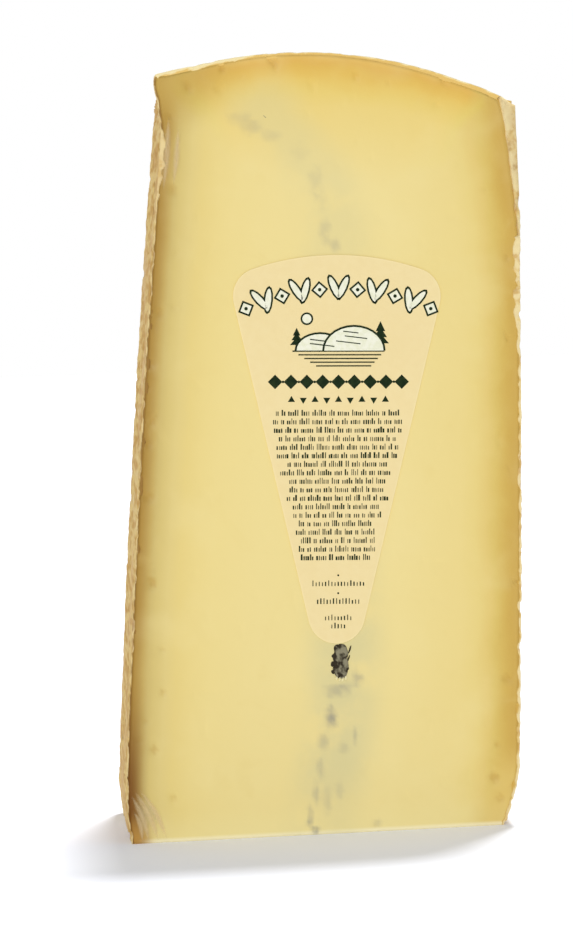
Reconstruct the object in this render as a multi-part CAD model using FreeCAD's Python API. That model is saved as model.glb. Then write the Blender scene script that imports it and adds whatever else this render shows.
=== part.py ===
# A piece of Morbier: a slab cut from a quarter wheel, standing on its lower cut.
# The wheel's two flat faces are its left and right sides, the wheel's heel is its top,
# and the front, the back and the base are cuts. A wavy sheet of ash runs through the paste,
# and a paper label is stuck on the front cut.
#
# Millimetres, +Z up, the front cut faces -Y, and the wheel's axis lies along X but for the lean.
# The solids are built in the wheel's frame: X runs from the mid-plane along the axis, Y from the
# front cut to the back, and Z from the base cut away from the axis. They are stood up at the end.
import FreeCAD, Part
import math
import os

from FreeCAD import Vector

# ---- The wheel -----------------------------------------------------------------------------
WHEEL_RADIUS = 170.0             # axis to the crest of the heel
HALF_THICKNESS = 38.9            # mid-plane to a flat face, at the axis
DOME_RISE = 4.9                  # how much nearer to the mid-plane the domed faces are at the heel
HEEL_ROUNDING = 87.0             # radius of the heel's bulge between the two faces
HEEL_SKEW = -4.85                # the heel's crest sits this far to the left of the mid-plane
LEFT_SHOULDER_ROUNDING = 0.9     # where the heel turns into the left face
RIGHT_SHOULDER_ROUNDING = 2.0    # where the heel turns into the right face

# ---- The cuts ------------------------------------------------------------------------------
BASE_ABOVE_AXIS = 17.4           # wheel's axis to the base cut, along the mid-plane
PIECE_DEPTH = 42.0               # front cut to back cut; the front cut runs through the axis
LEAN_DEG = 3.6                   # the base was cut askew, so the piece leans to the right
LEFT_TUCK = 1.4                  # how far the left face is pressed in at the base
RIGHT_TUCK = 2.6                 # the same on the right
TUCK_HEIGHT = 15.0               # height over which the faces turn in
CHIP_WIDTH = 3.7                 # rubbed corner at the top of the front's right edge: across the front
CHIP_DEPTH = 2.4                 # into the right face
CHIP_HEIGHT = 19.0               # down the edge

# ---- The ash sheet -------------------------------------------------------------------------
ASH_SHORT_OF_HEEL = 11.6         # the heel's crest to the sheet's edge
ASH_WANDER = 2.6                 # the sheet's sideways wave about the mid-plane
ASH_WAVE_LENGTH = 110.0
ASH_WAVE_HEIGHT = 8.0            # where the first wave leaves the mid-plane, on the front cut
ASH_DRIFT = 15.0                 # how far the waves have moved up at the back cut
ASH_CURL = -18.6                 # how far the sheet's edge has slipped to the left, on the front cut
ASH_CURL_SPAN = 30.0             # the stretch below the edge over which it slips
ASH_BACK_CURL = -9.0             # the same slip on the back cut
ASH_LOW_THICKNESS = 1.1          # at the base
ASH_HIGH_THICKNESS = 0.5         # at the sheet's edge
ASH_SWELL = 1.9                  # extra thickness in the pocket where the ash gathered
ASH_SWELL_HEIGHT = 37.0          # height of that pocket on the front cut
ASH_SWELL_SPAN = 10.0            # half its height
ASH_STEP = 7.0                   # spacing of the section's points
ASH_SECTIONS = 4                 # sections from front to back

# ---- The paper label -----------------------------------------------------------------------
LABEL_HEIGHT = 75.9              # tip to top
LABEL_HALF_ANGLE_DEG = 13.3      # each straight side to the label's middle line
LABEL_TOP_RADIUS = 51.0          # the domed top edge
LABEL_ROUNDING = 5.6             # radius of the tip and of both shoulders
LABEL_THICKNESS = 0.3
LABEL_TILT_DEG = 2.24            # its middle line leans to the right
LABEL_TIP_SIDEWAYS = 4.4         # centre of the tip's rounding, right of the mid-plane's foot
LABEL_TIP_HEIGHT = 43.0          # centre of the tip's rounding above the base

OVERCUT = 4.0                    # how far a cutting tool runs past what it cuts


def dome_radius():
    """Radius of the sphere on which both flat faces of the wheel lie."""
    return (WHEEL_RADIUS ** 2 + DOME_RISE ** 2) / (2 * DOME_RISE)


def half_thickness(radius):
    """Distance from the mid-plane to a flat face, this far from the wheel's axis."""
    return HALF_THICKNESS - dome_radius() + math.sqrt(dome_radius() ** 2 - radius ** 2)


def dome_centre(side):
    """Centre of the sphere that holds the left (-1) or the right (+1) face."""
    return Vector(side * (HALF_THICKNESS - dome_radius()), 0, 0)


def heel_centre():
    return Vector(HEEL_SKEW, 0, WHEEL_RADIUS - HEEL_ROUNDING)


def shoulder(side, rounding):
    """Centre of the rounding that touches the heel's circle and a face's from inside. With no
    rounding it is the sharp corner where those two cross."""
    dome = dome_centre(side)
    from_dome = dome_radius() - rounding
    from_heel = HEEL_ROUNDING - rounding
    between = heel_centre() - dome
    along = (from_dome ** 2 - from_heel ** 2 + between.Length ** 2) / (2 * between.Length)
    across = math.sqrt(from_dome ** 2 - along ** 2)
    step = between.normalize()
    return dome + step * along + Vector(-side * step.z, 0, side * step.x) * across


def shoulder_arc(side, rounding):
    """Start, middle and end of a shoulder's arc, from the face to the heel."""
    centre = shoulder(side, rounding)
    off_face = (centre - dome_centre(side)).normalize()
    off_heel = (centre - heel_centre()).normalize()
    halfway = (off_face + off_heel).normalize()
    return [centre + way * rounding for way in (off_face, halfway, off_heel)]


def on_face(side, radius):
    return Vector(side * half_thickness(radius), 0, radius)


def make_wheel():
    """The whole wheel, turned about X, with its axis at the origin."""
    left = shoulder_arc(-1, LEFT_SHOULDER_ROUNDING)
    right = shoulder_arc(1, RIGHT_SHOULDER_ROUNDING)
    crest = Vector(HEEL_SKEW, 0, WHEEL_RADIUS)
    outline = [
        Part.Arc(on_face(-1, 0), on_face(-1, left[0].z / 2), left[0]),
        Part.Arc(*left),
        Part.Arc(left[2], crest, right[2]),
        Part.Arc(*reversed(right)),
        Part.Arc(right[0], on_face(1, right[0].z / 2), on_face(1, 0)),
        Part.LineSegment(on_face(1, 0), on_face(-1, 0)),
    ]
    section = Part.Face(Part.Wire([edge.toShape() for edge in outline]))
    return section.revolve(Vector(0, 0, 0), Vector(1, 0, 0), 360)


def tuck_tool(side, tuck):
    """What is pressed away from a side's foot: a sliver under an arc that meets the side above it."""
    foot = side * half_thickness(BASE_ABOVE_AXIS)
    base = foot * math.tan(math.radians(LEAN_DEG))
    bend = (TUCK_HEIGHT ** 2 + tuck ** 2) / (2 * tuck)
    low = Vector(foot - side * tuck, 0, base)
    top = Vector(foot, 0, base + TUCK_HEIGHT)
    half_turn = math.asin(TUCK_HEIGHT / bend) / 2
    middle = top + Vector(side * bend * (math.cos(half_turn) - 1), 0, -bend * math.sin(half_turn))
    below = low - Vector(0, 0, OVERCUT)
    outer_low = below + Vector(side * (tuck + OVERCUT), 0, 0)
    outer_top = top + Vector(side * OVERCUT, 0, 0)
    arc = Part.Arc(low, middle, top).toShape()
    rest = Part.makePolygon([top, outer_top, outer_low, below, low])
    tool = Part.Face(Part.Wire([arc] + rest.Edges)).extrude(Vector(0, PIECE_DEPTH + 2 * OVERCUT, 0))
    tool.translate(Vector(0, -OVERCUT, 0))
    return tool


def chip_tool():
    """A block whose lower face is the slant of the rubbed corner at the top of the right front edge."""
    corner = shoulder(1, 0) - Vector(0, 0, BASE_ABOVE_AXIS)
    across = corner - Vector(CHIP_WIDTH, 0, 0)
    down = corner - Vector(0, 0, CHIP_HEIGHT)
    back = corner + Vector(0, CHIP_DEPTH, 0)
    normal = (back - across).cross(down - across).normalize()
    if normal.x < 0:
        normal = normal * -1
    size = 2 * CHIP_HEIGHT
    tool = Part.makeBox(size, size, size, Vector(-size / 2, -size / 2, 0))
    tool.Placement = FreeCAD.Placement(across, FreeCAD.Rotation(Vector(0, 0, 1), normal))
    return tool


def ash_edge_height(depth):
    """Height at which the ash sheet ends, this far behind the front cut."""
    ash_radius = WHEEL_RADIUS - ASH_SHORT_OF_HEEL
    return math.sqrt(ash_radius ** 2 - depth ** 2) - BASE_ABOVE_AXIS


def ash_sideways(height, depth):
    """The middle of the ash sheet, right of the mid-plane."""
    share = depth / PIECE_DEPTH
    phase = (height - ASH_WAVE_HEIGHT - ASH_DRIFT * share) / ASH_WAVE_LENGTH
    wave = ASH_WANDER * math.sin(2 * math.pi * phase)
    climb = 1 + (height - ash_edge_height(depth)) / ASH_CURL_SPAN
    curl = ASH_CURL + (ASH_BACK_CURL - ASH_CURL) * share
    return wave + curl * max(0.0, climb) ** 2


def ash_thickness(height, depth):
    share = height / ash_edge_height(depth)
    from_pocket = (height - ASH_SWELL_HEIGHT - ASH_DRIFT * depth / PIECE_DEPTH) / ASH_SWELL_SPAN
    spread = ASH_LOW_THICKNESS + (ASH_HIGH_THICKNESS - ASH_LOW_THICKNESS) * share
    return spread + ASH_SWELL * math.exp(-from_pocket ** 2)


def ash_section(depth):
    """Closed outline of the sheet this far behind the front cut, from below the base to its edge."""
    top = ash_edge_height(depth)
    steps = int(round((ash_edge_height(0) + 2 * OVERCUT) / ASH_STEP))
    shares = [step / steps for step in range(steps + 1)]
    heights = [-2 * OVERCUT + (top + 2 * OVERCUT) * share for share in shares]
    flanks = []
    for side in (-1, 1):
        points = [
            Vector(ash_sideways(z, depth) + side * ash_thickness(z, depth) / 2, depth, z) for z in heights
        ]
        flank = Part.BSplineCurve()
        flank.interpolate(Points=points, Parameters=shares)
        flanks.append(flank)
    left, right = flanks
    return Part.Wire([
        left.toShape(),
        Part.makeLine(left.EndPoint, right.EndPoint),
        right.toShape(),
        Part.makeLine(right.StartPoint, left.StartPoint),
    ])


def make_ash_tool():
    """The whole ash sheet, run out past the front, the back and the base."""
    reach = PIECE_DEPTH + 2 * OVERCUT
    depths = [-OVERCUT + reach * index / (ASH_SECTIONS - 1) for index in range(ASH_SECTIONS)]
    return Part.makeLoft([ash_section(depth) for depth in depths], True, False)


def make_label():
    """A fan with a rounded tip and shoulders. The three roundings are equal, so the centres of the
    shoulders' lie on lines through the tip's centre, each along one straight side."""
    angle = math.radians(LABEL_HALF_ANGLE_DEG)
    top = Vector(0, 0, LABEL_HEIGHT - LABEL_ROUNDING)
    dome = top - Vector(0, 0, LABEL_TOP_RADIUS)
    along = dome.z * math.cos(angle)
    aside = dome.z * math.sin(angle)
    reach = along + math.sqrt((LABEL_TOP_RADIUS - LABEL_ROUNDING) ** 2 - aside ** 2)
    tip = Vector(0, 0, -LABEL_ROUNDING)
    ends = {}
    for side in (-1, 1):
        outward = Vector(side * math.cos(angle), 0, -math.sin(angle))
        centre = Vector(side * math.sin(angle), 0, math.cos(angle)) * reach
        radial = (centre - dome).normalize()
        bisector = (outward + radial).normalize()
        ends[side] = {
            "tip": outward * LABEL_ROUNDING,
            "low": centre + outward * LABEL_ROUNDING,
            "middle": centre + bisector * LABEL_ROUNDING,
            "high": dome + radial * LABEL_TOP_RADIUS,
        }
    left, right = ends[-1], ends[1]
    outline = [
        Part.Arc(left["tip"], tip, right["tip"]),
        Part.LineSegment(right["tip"], right["low"]),
        Part.Arc(right["low"], right["middle"], right["high"]),
        Part.Arc(right["high"], top, left["high"]),
        Part.Arc(left["high"], left["middle"], left["low"]),
        Part.LineSegment(left["low"], left["tip"]),
    ]
    face = Part.Face(Part.Wire([edge.toShape() for edge in outline]))
    label = face.extrude(Vector(0, -LABEL_THICKNESS, 0))
    label.rotate(Vector(0, 0, 0), Vector(0, 1, 0), LABEL_TILT_DEG)
    label.translate(Vector(LABEL_TIP_SIDEWAYS, 0, LABEL_TIP_HEIGHT))
    return label


def stand_up(shape):
    """Turns the skewed base cut level. The mid-plane's foot on the front cut stays at the origin."""
    stood = shape.copy()
    stood.rotate(Vector(0, 0, 0), Vector(0, 1, 0), LEAN_DEG)
    return stood


def make_piece():
    """The slab: the wheel between its three cuts, with tucked feet and the rubbed corner."""
    wheel = make_wheel()
    wheel.translate(Vector(0, 0, -BASE_ABOVE_AXIS))
    for tool in (tuck_tool(-1, LEFT_TUCK), tuck_tool(1, RIGHT_TUCK), chip_tool()):
        wheel = wheel.cut(tool)
    span = 2 * WHEEL_RADIUS
    between_cuts = Part.makeBox(span, PIECE_DEPTH, span, Vector(-WHEEL_RADIUS, 0, 0))
    return stand_up(wheel).common(between_cuts)


os.makedirs("parts", exist_ok=True)
piece = make_piece()
ash_tool = stand_up(make_ash_tool())
nodes = {
    "cheese_paste": piece.cut(ash_tool),
    "ash_layer": piece.common(ash_tool),
    "paper_label": make_label(),
}

# The origin goes to the middle of the footprint of all the pieces together.
whole = Part.makeCompound(list(nodes.values())).optimalBoundingBox()
to_origin = Vector(-(whole.XMin + whole.XMax) / 2, -(whole.YMin + whole.YMax) / 2, -whole.ZMin)
for name, shape in nodes.items():
    shape = shape.Solids[0] if len(shape.Solids) == 1 else shape
    shape.translate(to_origin)
    shape.exportStep("parts/" + name + ".step")
    print(name, len(shape.Solids), "solid,", round(shape.Volume / 1000, 3), "cm3, valid", shape.isValid())
print("size", [round(side, 2) for side in (whole.XLength, whole.YLength, whole.ZLength)], "moved", to_origin)
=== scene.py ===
# %% [markdown]
# # A piece of Morbier
# This lesson dresses a slab of semi-soft cheese that a CAD program has already built: the paste, the
# thin sheet of ash in its middle and the paper label on its front cut. The CAD solids give the true
# shape and size. Blender gives what makes it look like cheese: a crusty rind with ragged lips, paste
# that darkens towards that rind, broken streaks of ash, printed paper and a crumpled clear film.
#
# The first step loads the imported model as a fixed frame.

# %% Load the frame
import math
import random

import bmesh
import bpy
import numpy as np
from mathutils import Matrix, Vector, noise
from mathutils.bvhtree import BVHTree


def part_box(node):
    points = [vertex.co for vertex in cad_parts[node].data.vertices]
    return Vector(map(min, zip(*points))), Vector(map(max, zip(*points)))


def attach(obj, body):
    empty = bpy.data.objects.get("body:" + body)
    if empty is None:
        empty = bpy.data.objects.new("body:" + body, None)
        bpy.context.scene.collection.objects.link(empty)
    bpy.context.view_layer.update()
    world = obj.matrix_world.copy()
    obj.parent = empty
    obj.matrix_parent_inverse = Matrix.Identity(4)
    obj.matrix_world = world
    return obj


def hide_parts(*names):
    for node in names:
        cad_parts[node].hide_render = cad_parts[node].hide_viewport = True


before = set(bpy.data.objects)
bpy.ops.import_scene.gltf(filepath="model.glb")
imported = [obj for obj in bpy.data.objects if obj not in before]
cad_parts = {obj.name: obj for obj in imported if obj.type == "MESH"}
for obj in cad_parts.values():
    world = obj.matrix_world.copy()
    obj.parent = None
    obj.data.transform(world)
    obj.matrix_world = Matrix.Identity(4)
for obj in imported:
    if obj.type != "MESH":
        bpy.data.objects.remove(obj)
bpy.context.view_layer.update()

# %% [markdown]
# Blender works in metres and cheese is measured in millimetres, so one name turns the one into the
# other. The cuts' places are read from the boxes of the CAD nodes. Only the paper label lies outside
# the front cut, so the paste's own box tells where the front and the back are.

# %% Sizes that the frame gives
MM = 0.001
LOW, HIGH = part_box("cheese_paste")
FRONT, BACK = LOW.y, HIGH.y
TOP = HIGH.z
LABEL_LOW, LABEL_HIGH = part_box("paper_label")
ASH_LOW, ASH_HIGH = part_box("ash_layer")
print("paste from", LOW, "to", HIGH)

# %% [markdown]
# Everything new has to sit on the CAD shape. One way is to repeat its formulas here, but then two
# places would have to agree. It is safer to measure: a ray that is shot at the CAD mesh comes back
# with the point and the normal where it struck. A BVH tree makes thousands of such rays quick.
# The CAD mesh is loose triangles, so the tree is made from a merged copy, and the CAD stays as it is.

# %% Rays that measure the CAD solids
REACH = 0.2


def merged(node):
    """A bmesh copy of a CAD node with its loose triangles joined."""
    bm = bmesh.new()
    bm.from_mesh(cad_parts[node].data)
    bmesh.ops.remove_doubles(bm, verts=bm.verts, dist=1e-6)
    return bm


PASTE_TREE = BVHTree.FromBMesh(merged("cheese_paste"))
ASH_TREE = BVHTree.FromBMesh(merged("ash_layer"))
EDGE = 0.05 * MM
BACK_ROOM = 0.3 * MM


def clamped(value, low, high):
    """The value, kept between two limits."""
    return min(max(value, low), high)


def inside_cuts(depth):
    """The same place front to back, kept just inside the two cuts, so that no ray slips past them."""
    return clamped(depth, FRONT + EDGE, BACK - EDGE)


def skin(start, outward):
    """Point and normal where the cheese ends, going this way from a point inside it."""
    origin = Vector((start.x, inside_cuts(start.y), start.z)) + outward * REACH
    point, normal, _, _ = PASTE_TREE.ray_cast(origin, -outward)
    return point, normal


def ash_here(depth, height):
    """Middle and thickness of the ash sheet at this place, or None above its upper edge."""
    level = max(height, EDGE)
    left, _, _, _ = ASH_TREE.ray_cast(Vector((-REACH, inside_cuts(depth), level)), Vector((1, 0, 0)))
    right, _, _, _ = ASH_TREE.ray_cast(Vector((REACH, inside_cuts(depth), level)), Vector((-1, 0, 0)))
    return ((left.x + right.x) / 2, right.x - left.x) if left and right else None


print("front cut at mid-height reaches from",
      skin(Vector((0, FRONT, TOP / 2)), Vector((-1, 0, 0)))[0].x, "to",
      skin(Vector((0, FRONT, TOP / 2)), Vector((1, 0, 0)))[0].x)

# %% [markdown]
# Cheese has no two spots alike, but a script has to give the same cheese on each run. Perlin noise
# answers both: it is smooth, it never repeats at this size, and the same point gives the same value.
# `rough` adds a few scales of it, from -1 to 1. `fade` is the soft step that shaders call smoothstep.

# %% Small mathematical helpers
random.seed(39)


def rough(point, size, octaves=2, shift=0.0):
    """Noise from -1 to 1 whose lumps are about this size."""
    at = point / size + Vector((shift, 2.3 * shift, -1.7 * shift))
    total, weight, scale = 0.0, 0.0, 1.0
    for _ in range(octaves):
        total += noise.noise(at * scale) / scale
        weight += 1 / scale
        scale *= 2
    return 1.6 * total / weight


def fade(value, low, high):
    """0 below low, 1 above high, and a smooth turn between them. It also runs backwards."""
    share = clamped((value - low) / (high - low), 0.0, 1.0)
    return share * share * (3 - 2 * share)


print("fade half-way is", fade(0.5, 0, 1), "and rough at the origin", rough(Vector((0, 0, 0)), MM))

# %% [markdown]
# Each piece ends in the same way: the bmesh becomes a mesh, the mesh gets its material and its object,
# and the object is told what it rides on and which CAD nodes it replaces.
# One function does it for all, so no piece can miss a step. It also prints the piece's triangles.

# %% A finished piece


def finish_piece(bm, name, material, replaced=(), smooth=True):
    """Turns a bmesh into a finished piece that rides with the cheese."""
    mesh = bpy.data.meshes.new(name)
    bm.to_mesh(mesh)
    bm.free()
    mesh.materials.append(material)
    mesh.polygons.foreach_set("use_smooth", [smooth] * len(mesh.polygons))
    piece = bpy.data.objects.new(name, mesh)
    bpy.context.scene.collection.objects.link(piece)
    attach(piece, "root")
    if replaced:
        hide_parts(*replaced)
    triangles = sum(len(face.vertices) - 2 for face in mesh.polygons)
    print(name, "has", triangles, "triangles")


# %% [markdown]
# Materials are graphs of nodes. Writing each link by hand is long, so `put` adds one node and fills
# its inputs, each with a plain value or with another node's output. Colours are written as the 0-255
# numbers of a colour picker, and `tint` turns them into the linear light that a shader reckons with.

# %% Node helpers


def tint(red, green, blue):
    """A picked colour as linear light."""
    def linear(value):
        share = value / 255
        return share / 12.92 if share <= 0.04045 else ((share + 0.055) / 1.055) ** 2.4
    return (linear(red), linear(green), linear(blue), 1.0)


def feed(tree, socket, value):
    """Gives a socket a plain value, or a link from another node's output."""
    if isinstance(value, bpy.types.NodeSocket):
        tree.links.new(value, socket)
    else:
        socket.default_value = value


def put(tree, kind, inputs=None, **settings):
    """Adds a node. Its inputs are given by name or number, as values or as other nodes' outputs."""
    node = tree.nodes.new(kind)
    for name, value in settings.items():
        setattr(node, name, value)
    for key, value in (inputs or {}).items():
        feed(tree, node.inputs[key], value)
    return node


print("a mid grey of the picker is", round(tint(128, 128, 128)[0], 3), "in linear light")

# %% [markdown]
# The next helpers name what the materials do again and again: reckon with numbers, spread a number
# between two limits, mix two colours, run a number through a ramp of colours, and read a number that
# the mesh carries on its points.

# %% Numbers and colours in nodes


def maths(tree, operation, *values):
    """One step of reckoning with numbers."""
    return put(tree, "ShaderNodeMath", dict(enumerate(values)), operation=operation).outputs[0]


def times(tree, first, *others):
    """The product of two or more numbers."""
    for other in others:
        first = maths(tree, "MULTIPLY", first, other)
    return first


def remap(tree, value, low, high, to_low=0.0, to_high=1.0):
    """The value between two limits, spread smoothly over two others."""
    inputs = {"Value": value, "From Min": low, "From Max": high, "To Min": to_low, "To Max": to_high}
    return put(tree, "ShaderNodeMapRange", inputs, interpolation_type="SMOOTHSTEP").outputs["Result"]


def blend(tree, share, first, second, how="MIX"):
    """Two colours mixed by a share."""
    node = put(tree, "ShaderNodeMix", data_type="RGBA", blend_type=how)
    sockets = [s for s in node.inputs if s.enabled]
    for socket, value in zip(sockets, (share, first, second)):
        feed(tree, socket, value)
    return [s for s in node.outputs if s.enabled][0]


def ramp(tree, factor, stops):
    """A colour ramp. Each stop is a place from 0 to 1 and a colour."""
    node = put(tree, "ShaderNodeValToRGB", {"Fac": factor})
    elements = node.color_ramp.elements
    elements[0].position, elements[0].color = stops[0]
    elements[1].position, elements[1].color = stops[-1]
    for place, colour in stops[1:-1]:
        elements.new(place).color = colour
    return node.outputs["Color"]


def attribute(tree, name):
    """A number that the mesh carries at each of its points."""
    return put(tree, "ShaderNodeAttribute", attribute_name=name).outputs["Fac"]


def above_base(tree):
    """The height above the slab's base, in metres."""
    place = put(tree, "ShaderNodeTexCoord").outputs["Object"]
    return put(tree, "ShaderNodeSeparateXYZ", {0: place}).outputs["Z"]


# %% [markdown]
# A new material comes with a Principled BSDF, the shader that suits cheese, paper and ash alike. Only a
# few of its sockets matter here: the colour, how rough and how glossy it is, and its fine relief.

# %% A new material


def new_material(name):
    """A material, its tree and its shader."""
    material = bpy.data.materials.new(name)
    material.use_nodes = True
    return material, material.node_tree, material.node_tree.nodes["Principled BSDF"]


def set_finish(tree, shader, colour, roughness, gloss, relief=None):
    """Gives the shader its colour, roughness and gloss, and the normals of its fine relief."""
    feed(tree, shader.inputs["Base Color"], colour)
    feed(tree, shader.inputs["Roughness"], roughness)
    shader.inputs["Specular IOR Level"].default_value = gloss
    if relief is not None:
        tree.links.new(relief, shader.inputs["Normal"])


# %% [markdown]
# Two effects show on more than one surface: patches of another shade, and a fine grain that only the
# light finds. Each is a node group, made once. A group here gives out only masks and heights; the
# shader itself stays in each material. Both read Object coordinates, so the pattern is fixed to the
# cheese and keeps its true size.

# %% Shared node groups


def new_group(name, inputs, outputs):
    """An empty node group with its sockets, and a place on the object to read."""
    group = bpy.data.node_groups.new(name, "ShaderNodeTree")
    for socket, value in inputs.items():
        made = group.interface.new_socket(socket, in_out="INPUT", socket_type="NodeSocketFloat")
        made.default_value = value
    for socket in outputs:
        group.interface.new_socket(socket, in_out="OUTPUT", socket_type="NodeSocketFloat")
    entry = group.nodes.new("NodeGroupInput").outputs
    leave = group.nodes.new("NodeGroupOutput").inputs
    place = put(group, "ShaderNodeTexCoord").outputs["Object"]
    return group, entry, leave, place


def patches_group():
    """Soft-edged patches: a mask that is 1 inside them."""
    group, entry, leave, place = new_group(
        "patches", {"Scale": 100, "Detail": 3, "Low": 0.45, "High": 0.6, "Distortion": 0}, ["Mask"]
    )
    cloud = put(group, "ShaderNodeTexNoise", {
        "Vector": place, "Scale": entry["Scale"], "Detail": entry["Detail"],
        "Distortion": entry["Distortion"],
    })
    mask = remap(group, cloud.outputs[0], entry["Low"], entry["High"])
    group.links.new(mask, leave["Mask"])
    return group


def grain_group():
    """A fine grain with scattered pinholes, as a height."""
    group, entry, leave, place = new_group(
        "fine_grain", {"Scale": 900, "Pinholes": 0.3, "Pinhole Scale": 500}, ["Height"]
    )
    cloud = put(group, "ShaderNodeTexNoise", {"Vector": place, "Scale": entry["Scale"], "Detail": 4})
    cells = put(group, "ShaderNodeTexVoronoi", {"Vector": place, "Scale": entry["Pinhole Scale"]})
    hole = remap(group, cells.outputs["Distance"], 0.0, 0.25, 1.0, 0.0)
    depth = maths(group, "MULTIPLY", hole, entry["Pinholes"])
    group.links.new(maths(group, "SUBTRACT", cloud.outputs[0], depth), leave["Height"])
    return group


PATCHES = patches_group()
GRAIN = grain_group()


def patches(tree, scale, low, high, detail=3.0, distortion=0.0):
    """The patches group in a material. Low and high set how much it covers and how soft its edge is."""
    values = {"Scale": scale, "Low": low, "High": high, "Detail": detail, "Distortion": distortion}
    return put(tree, "ShaderNodeGroup", values, node_tree=PATCHES).outputs["Mask"]


def grain(tree, scale, pinholes, pinhole_scale=500.0):
    """The fine grain group in a material."""
    values = {"Scale": scale, "Pinholes": pinholes, "Pinhole Scale": pinhole_scale}
    return put(tree, "ShaderNodeGroup", values, node_tree=GRAIN).outputs["Height"]


def bump(tree, height, strength, distance):
    """Normals that lean as if the surface had this height."""
    inputs = {"Height": height, "Strength": strength, "Distance": distance}
    return put(tree, "ShaderNodeBump", inputs).outputs["Normal"]


print("node groups:", [group.name for group in bpy.data.node_groups])

# %% [markdown]
# ## The rind
# A Morbier's rind is a dry, pinkish-tan crust, a millimetre or two thick, on both flat faces and round
# the heel. It could be a colour on the paste, but at the cuts it shows as a separate band with a
# torn, raised lip, and its flat faces keep the weave of the draining cloth. So it is a shell of its own.
#
# The shell starts as one flat grid. Its long way runs up the left face, over the heel and down the
# right face; its short way runs right round the shell's own section, outside, back rim, inside and
# front rim. Each grid point is then moved onto the measured surface, and the short ends are welded.
#
# First the long way: rays fan out from a spine inside the cheese. They would strike the corners at
# wide steps, so they are spaced again by the length of the line that they draw.

# %% The way round the rind
SPINE_HALF = 15 * MM
SPINE_TOP = 112 * MM
SHOULDER_ARC = math.pi / 2 * 32 * MM
LEGS = (SPINE_TOP, SHOULDER_ARC, 2 * SPINE_HALF, SHOULDER_ARC, SPINE_TOP)
SPINE_SAMPLES = 1500
RIND_STEP = 0.45 * MM


def spine(share):
    """Start and direction of a ray, from the left foot at 0 over the heel to the right foot at 1."""
    along = share * sum(LEGS)
    leg = 0
    while leg < len(LEGS) - 1 and along > LEGS[leg]:
        along -= LEGS[leg]
        leg += 1
    part = along / LEGS[leg]
    turn = math.pi / 2 * part
    return [
        (Vector((-SPINE_HALF, 0, part * SPINE_TOP)), Vector((-1, 0, 0))),
        (Vector((-SPINE_HALF, 0, SPINE_TOP)), Vector((-math.cos(turn), 0, math.sin(turn)))),
        (Vector(((2 * part - 1) * SPINE_HALF, 0, SPINE_TOP)), Vector((0, 0, 1))),
        (Vector((SPINE_HALF, 0, SPINE_TOP)), Vector((math.sin(turn), 0, math.cos(turn)))),
        (Vector((SPINE_HALF, 0, (1 - part) * SPINE_TOP)), Vector((1, 0, 0))),
    ][leg]


def even_shares():
    """Shares of the spine whose rays strike the surface at even steps."""
    shares = np.linspace(0, 1, SPINE_SAMPLES)
    points = []
    for share in shares:
        start, outward = spine(share)
        start.z = max(start.z, EDGE)
        points.append(skin(start, outward)[0])
    lengths = [0.0] + [(b - a).length for a, b in zip(points, points[1:])]
    travelled = np.cumsum(lengths)
    count = int(travelled[-1] / RIND_STEP)
    return np.interp(np.linspace(0, travelled[-1], count), travelled, shares)


SHARES = even_shares()
print(len(SHARES), "stations round the rind")

# %% [markdown]
# Then the short way, a list of stops: how far behind the front cut and how deep under the skin.
# The rows lie closest near the two rims, where the camera looks straight at them.

# %% The way round the shell's section
RIND_THICKNESS = 1.5 * MM
RIM_ROWS = 7
DEEP_ROWS = 8
FACE_ROWS = 60
CROWDING = 0.05


def section_stops():
    """Shares front to back and shares of the rind's thickness, once round the shell."""
    even = np.linspace(0, 1, FACE_ROWS)
    outside = [(share - CROWDING * math.sin(math.tau * share), 0.0) for share in even]
    outside[0], outside[-1] = (0.0, 0.0), (1.0, 0.0)
    back_rim = [(1.0, row / (RIM_ROWS + 1)) for row in range(1, RIM_ROWS + 1)]
    inside = [(1 - row / DEEP_ROWS, 1.0) for row in range(DEEP_ROWS + 1)]
    front_rim = [(0.0, 1 - row / (RIM_ROWS + 1)) for row in range(1, RIM_ROWS + 1)]
    return outside + back_rim + inside + front_rim + outside[:1]


STOPS = section_stops()
print(len(STOPS), "stops round the shell")

# %% [markdown]
# The relief of the rind comes from noise at several scales: broad hollows, the crust's lumps, its
# crumbs and a few deep pits. On the flat faces it is drawn out from front to back, as the draining
# cloth left it. It never goes deeper than `DEEPEST`, where the paste's own skin waits underneath.

# %% The rind's relief
DEEPEST = 0.42 * MM


def crust(point, normal):
    """How far the crust stands below the CAD skin, in metres, and its relief from -1 to 1."""
    heel = fade(normal.z, 0.3, 0.75)
    drawn = Vector((point.x, 0.45 * point.y, point.z))
    broad = rough(drawn, 7 * MM, 2, 1.0)
    lumps = rough(drawn, 1.7 * MM, 2, 4.0)
    crumbs = rough(point, 0.9 * MM, 2, 7.0)
    pits = fade(rough(drawn, 2.4 * MM, 1, 11.0), 0.35, 0.7)
    relief = 0.3 * broad + 0.55 * lumps + 0.25 * crumbs
    sunk = (0.12 - 0.08 * heel) * MM - (0.24 - 0.15 * heel) * MM * relief + (0.3 - 0.2 * heel) * MM * pits
    return min(sunk, DEEPEST), relief - 0.8 * pits


print("at the origin the crust stands", crust(Vector((0, 0, 0)), Vector((-1, 0, 0)))[0], "m deep")

# %% [markdown]
# Where the knife left the rind, its edge tore. The torn edge covers a strip of the cut that is wide in
# one spot and thin in the next, and it stands a little proud. Behind it the rind lies flush and then
# dives under the paste, so that no gap can show between the two pieces.
#
# Along the front's left lip there are bites where the knife broke the crust away. Their heights are
# written down one by one, in millimetres, because each is a mark of this very piece. At the top of the
# front both shoulders were pressed outwards into a burr.

# %% The torn rim
BITE_HEIGHTS = [7.6, 18.4, 29.5, 51.1, 67.9, 80.2, 101.9, 127.0]
BURR_DEPTH = 12 * MM


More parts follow.
